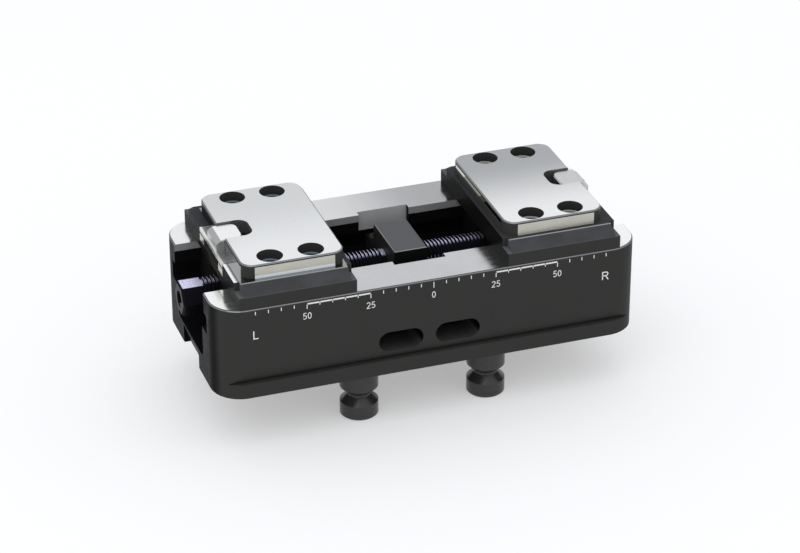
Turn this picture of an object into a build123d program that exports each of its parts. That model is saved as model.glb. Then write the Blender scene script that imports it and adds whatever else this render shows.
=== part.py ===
from build123d import *
import os
from math import cos, radians, sin, tan

# A self centering vise. X runs along the spindle, Y across the jaws, Z up.
# The origin is the centre of the underside of the base body, where it seats on a plate.

os.makedirs("parts", exist_ok=True)

# Clearances
slide_clearance = 0.05
running_clearance = 0.05
seat_clearance = 0.05

# Base body
base_length = 170.0
base_width = 77.0
base_height = 38.0
base_corner = 12.0
base_top_chamfer = 0.5
base_bottom_chamfer = 0.3

# Guide slot, from the rail tops down: lip with a ground land, T groove, chip channel
slot_width = 40.4
lip_height = 8.2
land_height = 3.0
land_relief = 0.3
groove_width = 48.4
groove_height = 7.6
groove_corner = 0.8
channel_width = 35.0
channel_depth = 29.2
channel_corner = 3.0

# Centre pocket through the lips, where the bearing block goes in
pocket_length = 20.6
pocket_width = 45.8

# Oblong windows through both side walls
window_length = 17.8
window_height = 8.3
window_rise = 5.4
window_centres = (-13.0, 9.8)

# Dovetail grip groove along both long sides: a blend, a slope and a flat lower shoulder
grip_shoulder_level = 6.1
grip_height = 5.9
grip_angle = 44.0
grip_blend = 7.5
grip_outreach = 2.0

# Sloped recess low in each end face
recess_width = 21.5
recess_height = 8.0
recess_depth = 2.6

# Spindle, with its hexagon at the left hand end
spindle_drop = 12.4
thread_diameter = 14.0
thread_chamfer = 0.9
neck_diameter = 10.0
hex_sides = 6
hex_across_flats = 12.0
hex_length = 8.6
hex_chamfer = 0.7
spindle_overhang = 4.0
spindle_inset = 2.0
end_bore_diameter = 6.0
end_bore_depth = 9.0

# Centre bearing
block_length = 13.7
block_width = 24.9
block_drop = 0.6
block_chamfer = 0.5
ear_height = 5.8
ear_margin = 0.1
ring_thickness = 1.7
ring_diameter = 13.0
bearing_screw_diameter = 3.0
bearing_head_diameter = 5.5
bearing_head_height = 3.0
bearing_screw_length = 6.0
bearing_hole_depth = 3.3
bearing_screw_spacing = 6.8
bearing_screw_offset = 19.9
bearing_socket_flats = 2.5
bearing_socket_depth = 1.5

# Pull studs under the base, on a square pattern
stud_spacing = 52.0
stud_diameter = 15.0
stud_neck_diameter = 9.3
stud_collar_length = 9.6
stud_cone_length = 2.8
stud_neck_length = 0.8
stud_head_length = 6.0
stud_edge_chamfer = 0.6
stud_collar_sink = 2.5
stud_seat_diameter = 13.0
stud_shank_diameter = 8.0
stud_shank_length = 12.0
stud_socket_flats = 6.0
stud_socket_depth = 5.5

# Jaw carriers, given at the right hand side; the left one is its mirror image
carrier_inner = 30.2
carrier_outer = 75.9
carrier_width = 76.0
carrier_wall_height = 5.0
carrier_top_height = 8.4
carrier_shoulder_width = 65.4
carrier_step_width = 62.6
carrier_end_relief = 2.0
stem_inner = 33.6
stem_outer = 74.4
boss_drop = 10.2
boss_corner = 7.0
spindle_passage_diameter = 17.0
jaw_screw_diameter = 6.8
jaw_screw_depth = 7.0

# Spindle nuts and their lock screws
nut_diameter = 22.0
nut_inner = 40.0
nut_length = 30.0
nut_chamfer = 0.6
lock_screw_diameter = 5.0
lock_screw_x = 46.0
lock_screw_bite = 1.5
lock_screw_sink = 2.0
lock_socket_flats = 2.5
lock_socket_depth = 2.0

# Jaw plates
plate_centre = 52.05
plate_length = 40.0
plate_width = 61.4
plate_thickness = 5.5
plate_corner = 5.0
plate_chamfer = 0.5
pad_rise = 0.3
pad_length = 31.2
pad_width = 50.0
pad_height = 4.7
plate_hole_diameter = 10.0
plate_hole_pitch_x = 16.0
plate_hole_pitch_y = 50.0
latch_slot_width = 13.0
latch_slot_end = 60.3
latch_slot_corner = 4.0

# Locating dowels under the plates
dowel_diameter = 5.0
dowel_x = 50.0
dowel_offset = 18.0
dowel_in_carrier = 6.0
dowel_in_plate = 3.0

# Latches, with a tongue in the plate slot and a bar in the carrier's end notch
latch_outer = 75.9
latch_inner = 62.0
latch_width = 31.4
latch_height = 5.3
latch_bar_height = 2.4
latch_leg_width = 5.9
latch_groove_height = 0.8
latch_groove_depth = 1.0
latch_core_width = 8.0
latch_core_length = 7.0
latch_travel = 3.0
tongue_width = 12.5
tongue_tip = 64.5
tongue_heel = 73.2
tongue_foot = 75.4
tongue_heel_drop = 1.6
tongue_height = 4.75
tongue_corner = 3.5
tongue_edge_chamfer = 0.4
notch_gap = 0.4

# Latch springs and guide pins
spring_wire = 0.6
spring_diameter = 4.2
spring_turns = 6
spring_pocket_diameter = 4.8
spring_pocket_depth = 4.8
spring_hole_depth = 4.0
guide_pin_diameter = 3.0
guide_pin_offset = 12.7
guide_pin_in_carrier = 7.0
guide_pin_length = 15.0

# Levels and places worked out from the sizes above
half_length = base_length / 2
half_width = base_width / 2
lip_underside = base_height - lip_height
channel_floor = base_height - channel_depth
window_level = channel_floor + window_rise
spindle_level = base_height - spindle_drop
groove_floor = lip_underside - groove_height
carrier_seat = base_height + slide_clearance
plate_seat = base_height + carrier_top_height
latch_top = plate_seat - slide_clearance
latch_bottom = latch_top - latch_height
latch_axis = latch_top - latch_height / 2
notch_inner = latch_inner - latch_travel - slide_clearance
hex_end = half_length + spindle_overhang
thread_end = hex_end - hex_length
plain_end = half_length - spindle_inset
block_half = block_length / 2
stud_points = [
    (-stud_spacing / 2, -stud_spacing / 2),
    (stud_spacing / 2, -stud_spacing / 2),
    (-stud_spacing / 2, stud_spacing / 2),
    (stud_spacing / 2, stud_spacing / 2),
]
bearing_screw_points = [
    (-bearing_screw_spacing / 2, -bearing_screw_offset),
    (bearing_screw_spacing / 2, -bearing_screw_offset),
    (-bearing_screw_spacing / 2, bearing_screw_offset),
    (bearing_screw_spacing / 2, bearing_screw_offset),
]
sides = (("left", -1), ("right", 1))


def save(part, name):
    part.label = name
    export_step(part, f"parts/{name}.step")


# Base body
with BuildPart() as base_body:
    with BuildSketch():
        RectangleRounded(base_length, base_width, base_corner)
    extrude(amount=base_height)
    chamfer(base_body.edges().group_by(Axis.Z)[-1], base_top_chamfer)
    chamfer(base_body.edges().group_by(Axis.Z)[0], base_bottom_chamfer)

    # Guide slot along X: land, relieved lip face, T groove and chip channel
    with BuildSketch(Plane.YZ):
        with Locations((0, base_height)):
            Rectangle(slot_width, 2 * lip_height)
        with Locations((0, lip_underside)):
            Rectangle(slot_width + 2 * land_relief, 2 * (lip_height - land_height))
        with Locations((0, lip_underside - groove_height / 2)):
            RectangleRounded(groove_width, groove_height, groove_corner)
        with Locations((0, (channel_floor + lip_underside) / 2)):
            RectangleRounded(channel_width, lip_underside - channel_floor, channel_corner)
    extrude(amount=base_length, both=True, mode=Mode.SUBTRACT)

    # Centre pocket through both lips
    with BuildSketch(Plane.XY.offset(base_height)):
        Rectangle(pocket_length, pocket_width)
    extrude(amount=-lip_height - groove_height / 2, mode=Mode.SUBTRACT)

    # Windows through both walls
    with BuildSketch(Plane.XZ):
        with Locations(*[(x, window_level) for x in window_centres]):
            SlotOverall(window_length, window_height)
    extrude(amount=base_width, both=True, mode=Mode.SUBTRACT)

    # Grip grooves along both long sides
    grip_top = grip_shoulder_level + grip_height
    grip_slope_height = grip_height - grip_blend * sin(radians(grip_angle))
    grip_slope_depth = grip_slope_height * tan(radians(grip_angle))
    grip_depth = grip_blend * (1 - cos(radians(grip_angle))) + grip_slope_depth
    with BuildSketch(Plane.YZ):
        with BuildLine():
            grip_arc = JernArc((-half_width, grip_top), (0, -1), grip_blend, grip_angle)
            Polyline(
                grip_arc @ 1,
                (-half_width + grip_depth, grip_shoulder_level),
                (-half_width - grip_outreach, grip_shoulder_level),
                (-half_width - grip_outreach, grip_top),
                (-half_width, grip_top),
            )
        make_face()
        mirror(about=Plane.YZ)
    extrude(amount=base_length, both=True, mode=Mode.SUBTRACT)

    # Sloped recess low in each end
    with BuildSketch(Plane.XZ):
        with BuildLine():
            Polyline(
                (half_length, recess_height),
                (half_length - recess_depth, 0),
                (half_length + recess_depth, 0),
                (half_length + recess_depth, recess_height),
                close=True,
            )
        make_face()
        mirror(about=Plane.YZ)
    extrude(amount=recess_width / 2, both=True, mode=Mode.SUBTRACT)

    # Stud holes in the underside: a counterbore with a cone for its mouth, then a hole for the shank
    with BuildSketch():
        with Locations(*stud_points):
            Circle(stud_seat_diameter / 2 + seat_clearance)
    extrude(amount=stud_collar_sink + seat_clearance, mode=Mode.SUBTRACT)
    with Locations(*stud_points):
        Cone(
            stud_diameter / 2 + seat_clearance,
            stud_seat_diameter / 2 + seat_clearance,
            (stud_diameter - stud_seat_diameter) / 2,
            align=(Align.CENTER, Align.CENTER, Align.MIN),
            mode=Mode.SUBTRACT,
        )
    with BuildSketch():
        with Locations(*stud_points):
            Circle(stud_shank_diameter / 2 + seat_clearance)
    extrude(amount=stud_shank_length + seat_clearance, mode=Mode.SUBTRACT)

    # Tapped holes for the bearing block, in the ledges of the T groove
    with BuildSketch(Plane.XY.offset(groove_floor)):
        with Locations(*bearing_screw_points):
            Circle(bearing_screw_diameter / 2 + seat_clearance)
    extrude(amount=-bearing_hole_depth, mode=Mode.SUBTRACT)
save(base_body.part, "base_body")

# Spindle: two threaded lengths at their full diameter, neck, hexagon end with a bore
with BuildPart() as spindle:
    with BuildSketch(Plane.YZ.offset(-thread_end)):
        with Locations((0, spindle_level)):
            Circle(thread_diameter / 2)
    extrude(amount=thread_end + plain_end)
    chamfer(spindle.edges().filter_by(GeomType.CIRCLE), thread_chamfer)
    with BuildSketch(Plane.YZ.offset(-hex_end)):
        with Locations((0, spindle_level)):
            RegularPolygon(hex_across_flats / 2, hex_sides, major_radius=False)
    extrude(amount=hex_length + thread_chamfer)
    chamfer(spindle.faces().sort_by(Axis.X)[0].edges(), hex_chamfer)
    neck_start = -block_half - ring_thickness - 2 * running_clearance
    neck_end = block_half + running_clearance
    with BuildSketch(Plane.YZ.offset(neck_start)):
        with Locations((0, spindle_level)):
            Circle(thread_diameter)
            Circle(neck_diameter / 2, mode=Mode.SUBTRACT)
    extrude(amount=neck_end - neck_start, mode=Mode.SUBTRACT)
    with BuildSketch(Plane.YZ.offset(-hex_end)):
        with Locations((0, spindle_level)):
            Circle(end_bore_diameter / 2)
    extrude(amount=end_bore_depth, mode=Mode.SUBTRACT)
save(spindle.part, "spindle")

# Bearing block: upper half of the spindle bearing, with an ear on each ledge
block_top = base_height - block_drop
ear_reach = pocket_width / 2 - ear_margin
with BuildPart() as bearing_block:
    with BuildSketch(Plane.YZ.offset(-block_half)):
        with Locations((0, (spindle_level + block_top) / 2)):
            Rectangle(block_width, block_top - spindle_level)
        for across in (-1, 1):
            with Locations((across * (block_width / 2 + ear_reach) / 2, groove_floor + ear_height / 2)):
                Rectangle(ear_reach - block_width / 2, ear_height)
        with Locations((0, spindle_level)):
            Circle(neck_diameter / 2 + running_clearance, mode=Mode.SUBTRACT)
    extrude(amount=block_length)
    chamfer(bearing_block.edges().group_by(Axis.Z)[-1], block_chamfer)
    with Locations(*[(x, y, groove_floor + ear_height) for x, y in bearing_screw_points]):
        CounterBoreHole(
            bearing_screw_diameter / 2 + seat_clearance,
            bearing_head_diameter / 2 + seat_clearance,
            bearing_head_height,
            ear_height,
        )
save(bearing_block.part, "bearing_block")

# Bearing saddle: lower half of the bearing, standing on the channel floor
with BuildPart() as bearing_saddle:
    with BuildSketch(Plane.YZ.offset(-block_half)):
        with Locations((0, (spindle_level + channel_floor) / 2)):
            Rectangle(block_width - 2 * seat_clearance, spindle_level - channel_floor)
        with Locations((0, spindle_level)):
            Circle(neck_diameter / 2 + running_clearance, mode=Mode.SUBTRACT)
    extrude(amount=block_length)
save(bearing_saddle.part, "bearing_saddle")

# Thrust ring: slotted, so that it drops over the neck beside the block
with BuildPart() as thrust_ring:
    with BuildSketch(Plane.YZ.offset(-block_half - running_clearance)):
        with Locations((0, spindle_level)):
            Circle(ring_diameter / 2)
            Circle(neck_diameter / 2 + running_clearance, mode=Mode.SUBTRACT)
        with Locations((0, spindle_level - ring_diameter / 2)):
            Rectangle(neck_diameter + 2 * running_clearance, ring_diameter, mode=Mode.SUBTRACT)
    extrude(amount=-ring_thickness)
save(thrust_ring.part, "thrust_ring")

# Bearing screws: socket head screws through the ears
for index, (x, y) in enumerate(bearing_screw_points, start=1):
    head_seat = groove_floor + ear_height - bearing_head_height
    with BuildPart() as bearing_screw:
        with BuildSketch(Plane.XY.offset(head_seat)):
            with Locations((x, y)):
                Circle(bearing_head_diameter / 2)
        extrude(amount=bearing_head_height)
        with BuildSketch(Plane.XY.offset(head_seat)):
            with Locations((x, y)):
                Circle(bearing_screw_diameter / 2)
        extrude(amount=-bearing_screw_length)
        with BuildSketch(Plane.XY.offset(head_seat + bearing_head_height)):
            with Locations((x, y)):
                RegularPolygon(bearing_socket_flats / 2, hex_sides, major_radius=False)
        extrude(amount=-bearing_socket_depth, mode=Mode.SUBTRACT)
    save(bearing_screw.part, f"bearing_screw_{index}")

# Pull studs: collar, cones and neck turned in one piece, spigot and shank let into the base
collar_end = -stud_collar_length
neck_upper = collar_end - stud_cone_length
neck_lower = neck_upper - stud_neck_length
head_start = neck_lower - stud_cone_length
stud_bottom = head_start - stud_head_length
for index, (x, y) in enumerate(stud_points, start=1):
    with BuildPart() as pull_stud:
        with BuildSketch(Plane((x, y, 0), x_dir=(1, 0, 0), z_dir=(0, -1, 0))):
            with BuildLine():
                Polyline(
                    (0, stud_shank_length),
                    (stud_shank_diameter / 2, stud_shank_length),
                    (stud_shank_diameter / 2, stud_collar_sink),
                    (stud_seat_diameter / 2, stud_collar_sink),
                    (stud_seat_diameter / 2, 0),
                    (stud_diameter / 2, 0),
                    (stud_diameter / 2, collar_end),
                    (stud_neck_diameter / 2, neck_upper),
                    (stud_neck_diameter / 2, neck_lower),
                    (stud_diameter / 2, head_start),
                    (stud_diameter / 2, stud_bottom + stud_edge_chamfer),
                    (stud_diameter / 2 - stud_edge_chamfer, stud_bottom),
                    (0, stud_bottom),
                    close=True,
                )
            make_face()
        revolve(axis=Axis((x, y, 0), (0, 0, 1)))
        with BuildSketch(Plane.XY.offset(stud_bottom)):
            with Locations((x, y)):
                RegularPolygon(stud_socket_flats / 2, hex_sides, major_radius=False)
        extrude(amount=stud_socket_depth, mode=Mode.SUBTRACT)
    save(pull_stud.part, f"pull_stud_{index}")

# Everything below is made twice, once for each jaw
flange_top = lip_underside - slide_clearance
flange_bottom = groove_floor + slide_clearance
boss_bottom = groove_floor - boss_drop
stem_length = stem_outer - stem_inner
plate_hole_points = [
    (x, y)
    for x in (plate_centre - plate_hole_pitch_x / 2, plate_centre + plate_hole_pitch_x / 2)
    for y in (-plate_hole_pitch_y / 2, plate_hole_pitch_y / 2)
]
for side_name, side in sides:

    # Jaw carrier: stepped slab on the rails, stem and T flange in the slot, boss round the nut
    with BuildPart() as carrier:
        with BuildSketch(Plane.YZ.offset(side * carrier_inner)):
            with BuildLine():
                Polyline(
                    (-carrier_width / 2, carrier_seat),
                    (-carrier_width / 2, base_height + carrier_wall_height),
                    (-carrier_shoulder_width / 2, plate_seat),
                    (carrier_shoulder_width / 2, plate_seat),
                    (carrier_width / 2, base_height + carrier_wall_height),
                    (carrier_width / 2, carrier_seat),
                    close=True,
                )
            make_face()
        extrude(amount=side * (carrier_outer - carrier_inner))

        # Square steps at both ends of each flank
        step_reach = (carrier_width - carrier_step_width) / 2
        step_centre = (carrier_width + carrier_step_width) / 4
        with BuildSketch(Plane.XY.offset(base_height + carrier_wall_height)):
            for end_x in (carrier_inner + carrier_end_relief / 2, carrier_outer - carrier_end_relief / 2):
                with Locations((side * end_x, -step_centre), (side * end_x, step_centre)):
                    Rectangle(carrier_end_relief, step_reach)
        extrude(amount=carrier_top_height, mode=Mode.SUBTRACT)

        # Stem, T flange and boss
        with BuildSketch(Plane.YZ.offset(side * stem_inner)):
            with Locations((0, (carrier_seat + flange_bottom) / 2)):
                Rectangle(slot_width - 2 * slide_clearance, carrier_seat - flange_bottom)
            with Locations((0, (flange_top + flange_bottom) / 2)):
                RectangleRounded(
                    groove_width - 2 * slide_clearance, flange_top - flange_bottom, groove_corner
                )
            with Locations((0, (flange_top + boss_bottom) / 2)):
                RectangleRounded(
                    channel_width - 2 * slide_clearance, flange_top - boss_bottom, boss_corner
                )
        extrude(amount=side * stem_length)

        # Nut bore from the outer end, and the spindle's passage to the inner end
        with BuildSketch(Plane.YZ.offset(side * stem_outer)):
            with Locations((0, spindle_level)):
                Circle(nut_diameter / 2)
        extrude(amount=-side * (stem_outer - nut_inner), mode=Mode.SUBTRACT)
        with BuildSketch(Plane.YZ.offset(side * nut_inner)):
            with Locations((0, spindle_level)):
                Circle(spindle_passage_diameter / 2)
        extrude(amount=-side * (nut_inner - stem_inner), mode=Mode.SUBTRACT)

        # End notch for the latch
        notch_width = latch_width + 2 * notch_gap
        with BuildSketch(Plane.XY.offset(plate_seat)):
            with Locations((side * (notch_inner + carrier_outer) / 2, 0)):
                Rectangle(carrier_outer - notch_inner, notch_width)
        extrude(amount=latch_bottom - slide_clearance - plate_seat, mode=Mode.SUBTRACT)

        # Spring pocket and guide pin holes in the notch's inner wall
        with BuildSketch(Plane.YZ.offset(side * notch_inner)):
            with Locations((0, latch_axis)):
                Circle(spring_pocket_diameter / 2)
        extrude(amount=-side * spring_pocket_depth, mode=Mode.SUBTRACT)
        with BuildSketch(Plane.YZ.offset(side * notch_inner)):
            with Locations((-guide_pin_offset, latch_axis), (guide_pin_offset, latch_axis)):
                Circle(guide_pin_diameter / 2)
        extrude(amount=-side * guide_pin_in_carrier, mode=Mode.SUBTRACT)

        # Tapped jaw holes, dowel holes and the lock screw's hole, all from the top
        with Locations(*[(side * hx, hy, plate_seat) for hx, hy in plate_hole_points]):
            Hole(jaw_screw_diameter / 2, jaw_screw_depth)
        with Locations(*[(side * dowel_x, dy, plate_seat) for dy in (-dowel_offset, dowel_offset)]):
            Hole(dowel_diameter / 2, dowel_in_carrier)
        with Locations((side * lock_screw_x, 0, plate_seat)):
            Hole(lock_screw_diameter / 2, plate_seat - spindle_level)
    save(carrier.part, f"{side_name}_carrier")

    # Spindle nut, with a flat bottomed dimple for its lock screw
    with BuildPart() as nut:
        with BuildSketch(Plane.YZ.offset(side * nut_inner)):
            with Locations((0, spindle_level)):
                Circle(nut_diameter / 2)
        extrude(amount=side * nut_length)
        chamfer(nut.edges().filter_by(GeomType.CIRCLE), nut_chamfer)
        with BuildSketch(Plane.YZ.offset(side * nut_inner)):
            with Locations((0, spindle_level)):
                Circle(thread_diameter / 2 + running_clearance)
        extrude(amount=side * nut_length, mode=Mode.SUBTRACT)
        nut_top = spindle_level + nut_diameter / 2
        with Locations((side * lock_screw_x, 0, nut_top)):
            Hole(lock_screw_diameter / 2, lock_screw_bite)
    save(nut.part, f"{side_name}_nut")

    # Lock screw
    with BuildPart() as lock_screw:
        with BuildSketch(Plane.XY.offset(nut_top - lock_screw_bite)):
            with Locations((side * lock_screw_x, 0)):
                Circle(lock_screw_diameter / 2)
        extrude(amount=plate_seat - lock_screw_sink - nut_top + lock_screw_bite)
        with BuildSketch(Plane.XY.offset(plate_seat - lock_screw_sink)):
            with Locations((side * lock_screw_x, 0)):
                RegularPolygon(lock_socket_flats / 2, hex_sides, major_radius=False)
        extrude(amount=-lock_socket_depth, mode=Mode.SUBTRACT)
    save(lock_screw.part, f"{side_name}_nut_lock_screw")

    # Jaw plate: rounded plate with ground pads on three sides, four holes and an end slot
    with BuildPart() as plate:
        with BuildSketch(Plane.XY.offset(plate_seat)):
            with Locations((side * plate_centre, 0)):
                RectangleRounded(plate_length, plate_width, plate_corner)
        extrude(amount=plate_thickness)
        chamfer(plate.edges().group_by(Axis.Z)[-1], plate_chamfer)
        plate_inner = plate_centre - plate_length / 2
        with BuildSketch(Plane.XY.offset(plate_seat)):
            with Locations((side * plate_centre, 0)):
                Rectangle(pad_length, plate_width + 2 * pad_rise)
            with Locations((side * (plate_inner - pad_rise + plate_length / 4), 0)):
                Rectangle(plate_length / 2, pad_width)
        extrude(amount=pad_height)
        with BuildSketch(Plane.XY.offset(plate_seat)):
            with Locations((side * (latch_slot_end + plate_length / 2), 0)):
                RectangleRounded(plate_length, latch_slot_width, latch_slot_corner)
            with Locations(*[(side * hx, hy) for hx, hy in plate_hole_points]):
                Circle(plate_hole_diameter / 2)
        extrude(amount=plate_thickness, mode=Mode.SUBTRACT)
        with BuildSketch(Plane.XY.offset(plate_seat)):
            with Locations((side * dowel_x, -dowel_offset), (side * dowel_x, dowel_offset)):
                Circle(dowel_diameter / 2)
        extrude(amount=dowel_in_plate, mode=Mode.SUBTRACT)
    save(plate.part, f"{side_name}_jaw_plate")

    # Locating dowels
    for across_name, across in (("front", -1), ("back", 1)):
        with BuildPart() as dowel:
            with BuildSketch(Plane.XY.offset(plate_seat - dowel_in_carrier)):
                with Locations((side * dowel_x, across * dowel_offset)):
                    Circle(dowel_diameter / 2)
            extrude(amount=dowel_in_carrier + dowel_in_plate)
        save(dowel.part, f"{side_name}_dowel_{across_name}")

    # Latch: grooved bar with two legs, core for the spring, tongue up through the plate slot
    with BuildPart() as latch:
        latch_length = latch_outer - latch_inner
        latch_centre = side * (latch_outer + latch_inner) / 2
        leg_centre = (latch_width - latch_leg_width) / 2
        with BuildSketch(Plane.XY.offset(latch_top)):
            with Locations((latch_centre, 0)):
                Rectangle(latch_length, latch_width)
        extrude(amount=-latch_bar_height)
        with BuildSketch(Plane.XY.offset(latch_top)):
            with Locations((latch_centre, -leg_centre), (latch_centre, leg_centre)):
                Rectangle(latch_length, latch_leg_width)
            with Locations((side * (latch_inner + latch_core_length / 2), 0)):
                Rectangle(latch_core_length, latch_core_width)
        extrude(amount=-latch_height)
        with BuildSketch(Plane.XY.offset(latch_top - latch_bar_height)):
            with Locations((side * latch_outer, 0)):
                Rectangle(2 * latch_groove_depth, latch_width)
        extrude(amount=latch_groove_height, mode=Mode.SUBTRACT)
        with BuildSketch(Plane.XZ.offset(-tongue_width / 2)):
            with BuildLine():
                Polyline(
                    (side * tongue_tip, latch_top),
                    (side * tongue_tip, latch_top + tongue_height),
                    (side * tongue_heel, latch_top + tongue_height),
                    (side * tongue_foot, latch_top + tongue_height - tongue_heel_drop),
                    (side * tongue_foot, latch_top),
                    close=True,
                )
            make_face()
        extrude(amount=tongue_width)
        tip_edges = latch.edges().filter_by(Axis.Z).filter_by(
            lambda edge: abs(edge.center().X - side * tongue_tip) < tongue_edge_chamfer
        )
        fillet(tip_edges, tongue_corner)
        chamfer(latch.edges().group_by(Axis.Z)[-1], tongue_edge_chamfer)
        with BuildSketch(Plane.YZ.offset(side * latch_inner)):
            with Locations((0, latch_axis)):
                Circle(spring_pocket_diameter / 2)
        extrude(amount=side * spring_hole_depth, mode=Mode.SUBTRACT)
        with BuildSketch(Plane.YZ.offset(side * latch_inner)):
            with Locations((-guide_pin_offset, latch_axis), (guide_pin_offset, latch_axis)):
                Circle(guide_pin_diameter / 2 + running_clearance)
        extrude(amount=side * (guide_pin_length - guide_pin_in_carrier), mode=Mode.SUBTRACT)
    save(latch.part, f"{side_name}_latch")

    # Latch spring of square wire, from the pocket's end to the bottom of the latch's hole
    spring_start = notch_inner - spring_pocket_depth
    spring_end = latch_inner + spring_hole_depth
    spring_length = spring_end - spring_start - spring_wire - 2 * seat_clearance
    spring_first = side * (spring_start + spring_wire / 2 + seat_clearance)
    with BuildPart() as spring:
        with BuildLine():
            coil = Helix(
                spring_length / spring_turns,
                spring_length,
                (spring_diameter - spring_wire) / 2,
                center=(spring_first, 0, latch_axis),
                direction=(side, 0, 0),
            )
        with BuildSketch(Plane(origin=coil @ 0, x_dir=(side, 0, 0), z_dir=coil % 0)):
            Rectangle(spring_wire, spring_wire)
        sweep(path=coil, is_frenet=True)
    save(spring.part, f"{side_name}_latch_spring")

    # Guide pins for the latch
    for across_name, across in (("front", -1), ("back", 1)):
        with BuildPart() as guide_pin:
            with BuildSketch(Plane.YZ.offset(side * (notch_inner - guide_pin_in_carrier))):
                with Locations((across * guide_pin_offset, latch_axis)):
                    Circle(guide_pin_diameter / 2)
            extrude(amount=side * guide_pin_length)
        save(guide_pin.part, f"{side_name}_latch_pin_{across_name}")
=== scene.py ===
from math import atan2, cos, floor, hypot, pi, radians, sin

import bmesh
import bpy
from mathutils import Matrix, Vector


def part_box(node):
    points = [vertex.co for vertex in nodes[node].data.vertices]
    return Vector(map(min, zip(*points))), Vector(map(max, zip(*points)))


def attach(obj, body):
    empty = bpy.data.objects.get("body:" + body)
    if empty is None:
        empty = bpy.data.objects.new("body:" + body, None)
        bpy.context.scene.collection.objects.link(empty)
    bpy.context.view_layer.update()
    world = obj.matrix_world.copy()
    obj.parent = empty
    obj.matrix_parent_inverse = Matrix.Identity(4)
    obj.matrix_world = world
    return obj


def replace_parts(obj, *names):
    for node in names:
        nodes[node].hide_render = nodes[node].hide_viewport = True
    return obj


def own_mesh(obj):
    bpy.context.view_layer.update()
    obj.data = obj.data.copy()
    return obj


# Lengths are in metres. X runs along the spindle, Y across the jaws and Z up,
# from the centre of the base's underside.
MM = 0.001

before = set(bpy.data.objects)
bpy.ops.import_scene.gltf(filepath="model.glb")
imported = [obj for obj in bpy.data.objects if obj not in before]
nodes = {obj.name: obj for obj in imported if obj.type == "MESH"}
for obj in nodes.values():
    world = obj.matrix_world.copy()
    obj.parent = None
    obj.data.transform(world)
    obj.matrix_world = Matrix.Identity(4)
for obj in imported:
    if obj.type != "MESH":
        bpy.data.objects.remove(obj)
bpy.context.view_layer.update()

# Faces of the model that the looks are placed by
base_low, base_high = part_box("base_body")
BASE_TOP = base_high.z
BASE_FRONT = base_low.y
SPINDLE_LEVEL = sum(corner.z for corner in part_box("spindle")) / 2
SPINDLE_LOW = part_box("spindle")[0].x
SPINDLE_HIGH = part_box("spindle")[1].x
PLATE_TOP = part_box("right_jaw_plate")[1].z
PLATE_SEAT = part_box("right_jaw_plate")[0].z
# The cream pads stand out from a plate by this much
PAD_RISE = 0.3 * MM
PLATE_CENTRE = {
    "left": (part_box("left_jaw_plate")[0].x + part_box("left_jaw_plate")[1].x - PAD_RISE) / 2,
    "right": (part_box("right_jaw_plate")[0].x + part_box("right_jaw_plate")[1].x + PAD_RISE) / 2,
}


# Node helpers

# How much a face looks up, or along an axis, to count as level, leaning or sideways
LEVEL_FACING = 0.92
LEVEL_BLUR = 0.06
LEAN_FACING = 0.4
SIDE_FACING = 0.9
FACING_BLUR = 0.1


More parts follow.
